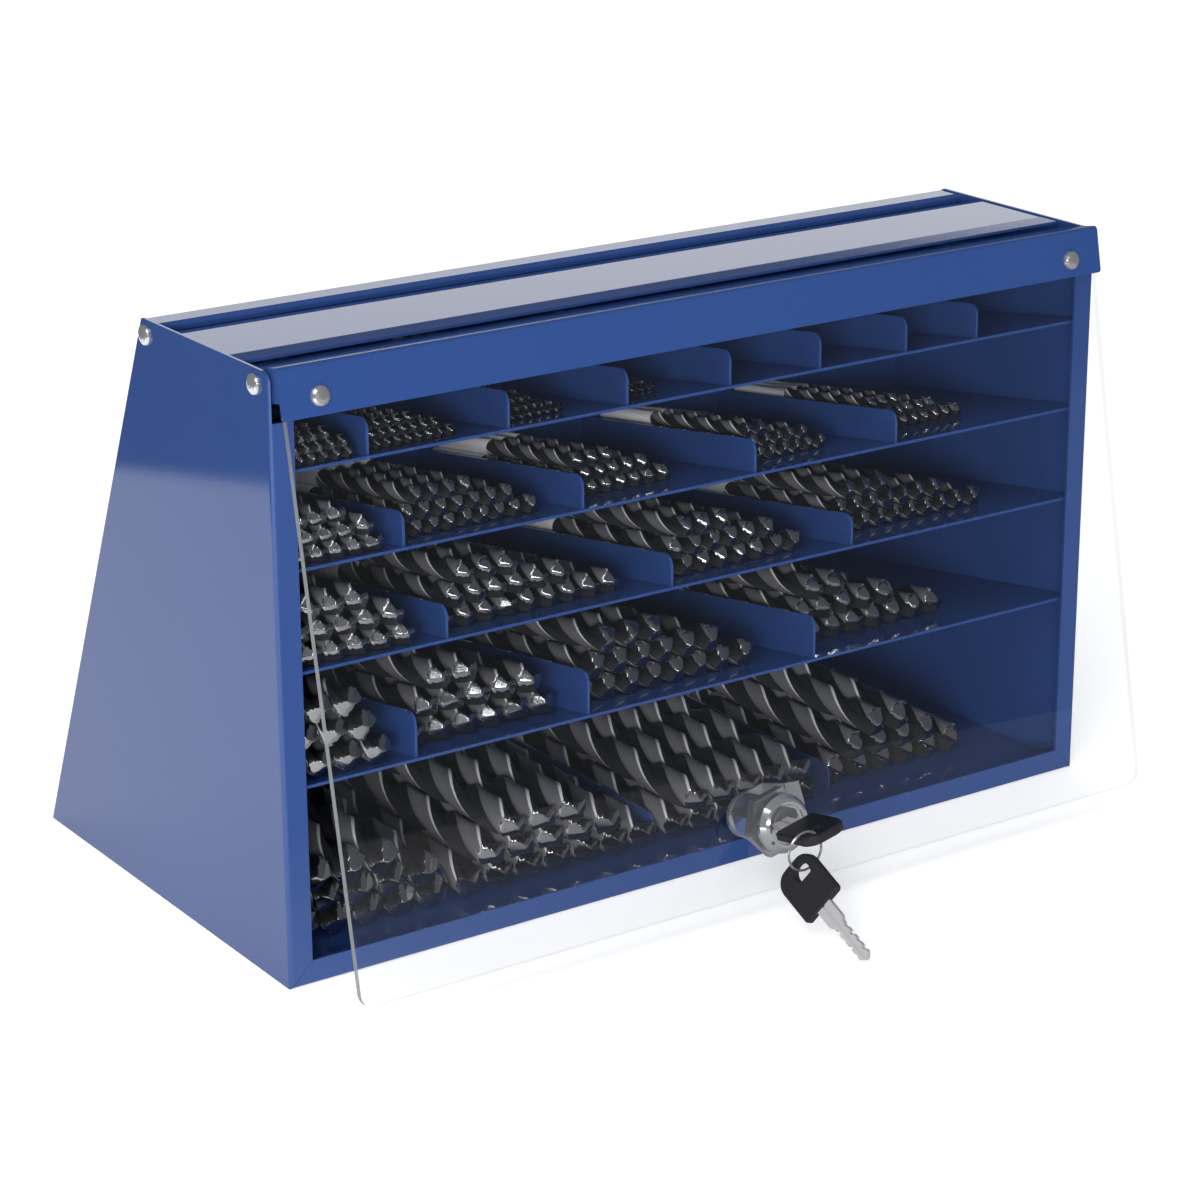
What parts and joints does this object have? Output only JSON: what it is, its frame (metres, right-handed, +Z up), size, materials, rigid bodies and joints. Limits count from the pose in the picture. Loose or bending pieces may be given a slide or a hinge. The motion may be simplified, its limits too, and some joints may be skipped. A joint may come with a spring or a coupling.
{
  "type": "drill bit dispenser case",
  "caption": "Bench case of folded steel with stepped, divided trays of twist drills, a clear hinged front flap, a cam lock and a pair of keys on a ring.",
  "frame": {"origin": "centre of the underside of the base, midway between the end panels and halfway from the case's front to its back at the floor", "axes": "+Z up; +X along the case, to the right as seen from the front; -Y towards the front, where the flap is"},
  "size_m": [0.3538, 0.279, 0.2166],
  "materials": {
    "blue_powder_coat": "gloss powder coat on folded sheet steel",
    "clear_acrylic": "clear polished acrylic",
    "chrome": "bright chrome plate",
    "bright_steel": "bright nickel plated steel",
    "black_oxide_steel": "black oxide twist drills with ground points",
    "key_steel": "satin nickel",
    "black_plastic": "moulded black plastic"
  },
  "bodies": {
    "case": {"left_end_panel": "blue_powder_coat", "right_end_panel": "blue_powder_coat", "base_panel": "blue_powder_coat", "rear_panel": "blue_powder_coat", "top_panel": "blue_powder_coat", "tray_1": "blue_powder_coat", "tray_2": "blue_powder_coat", "tray_3": "blue_powder_coat", "tray_4": "blue_powder_coat", "dividers_1": "blue_powder_coat", "dividers_2": "blue_powder_coat", "dividers_3": "blue_powder_coat", "dividers_4": "blue_powder_coat", "dividers_5": "blue_powder_coat", "hinge_rivets": "bright_steel", "rear_rivets": "bright_steel", "drills_01_0mm": "black_oxide_steel", "drills_01_5mm": "black_oxide_steel", "drills_02_0mm": "black_oxide_steel", "drills_02_5mm": "black_oxide_steel", "drills_03_0mm": "black_oxide_steel", "drills_03_5mm": "black_oxide_steel", "drills_04_0mm": "black_oxide_steel", "drills_04_5mm": "black_oxide_steel", "drills_05_0mm": "black_oxide_steel", "drills_05_5mm": "black_oxide_steel", "drills_06_0mm": "black_oxide_steel", "drills_06_5mm": "black_oxide_steel", "drills_07_0mm": "black_oxide_steel", "drills_07_5mm": "black_oxide_steel", "drills_08_0mm": "black_oxide_steel", "drills_08_5mm": "black_oxide_steel", "drills_09_0mm": "black_oxide_steel", "drills_09_5mm": "black_oxide_steel", "drills_10_0mm": "black_oxide_steel", "drills_10_5mm": "black_oxide_steel", "drills_11_0mm": "black_oxide_steel", "drills_11_5mm": "black_oxide_steel", "drills_12_0mm": "black_oxide_steel", "drills_12_5mm": "black_oxide_steel", "drills_13_0mm": "black_oxide_steel"},
    "flap": {"door_bracket": "blue_powder_coat", "clear_flap": "clear_acrylic", "bracket_screws": "bright_steel", "bracket_nuts": "bright_steel", "lock_body": "chrome", "lock_nut": "chrome"},
    "plug": {"lock_plug": "chrome", "lock_cam": "chrome", "cam_screw": "bright_steel"},
    "key": {"key_blade": "key_steel", "key_bow": "black_plastic"},
    "ring": {"key_ring": "bright_steel"},
    "spare_key": {"spare_key_blade": "key_steel", "spare_key_bow": "black_plastic"}
  },
  "joints": [
    {"name": "flap_hinge", "type": "hinge", "parent": "case", "child": "flap", "pos_m": [0, -0.083, 0.2095], "axis": [-1, 0, 0], "range_deg": [-11, 109]},
    {"name": "lock_turn", "type": "hinge", "parent": "flap", "child": "plug", "pos_m": [0.003, -0.12973, 0.03094], "axis": [0, -0.9816, 0.1908], "range_deg": [-90, 0]},
    {"name": "key_slide", "type": "slide", "parent": "plug", "child": "key", "axis": [0, -0.9816, 0.1908], "range_m": [0, 0.024]},
    {"name": "ring_swing", "type": "hinge", "parent": "key", "child": "ring", "pos_m": [-0.00414, -0.1515, 0.03362], "axis": [0, 1, 0], "range_deg": [-20, 20]},
    {"name": "spare_key_swing", "type": "hinge", "parent": "ring", "child": "spare_key", "pos_m": [-0.00325, -0.1515, 0.02244], "axis": [1, 0, 0], "range_deg": [-20, 0]}
  ]
}
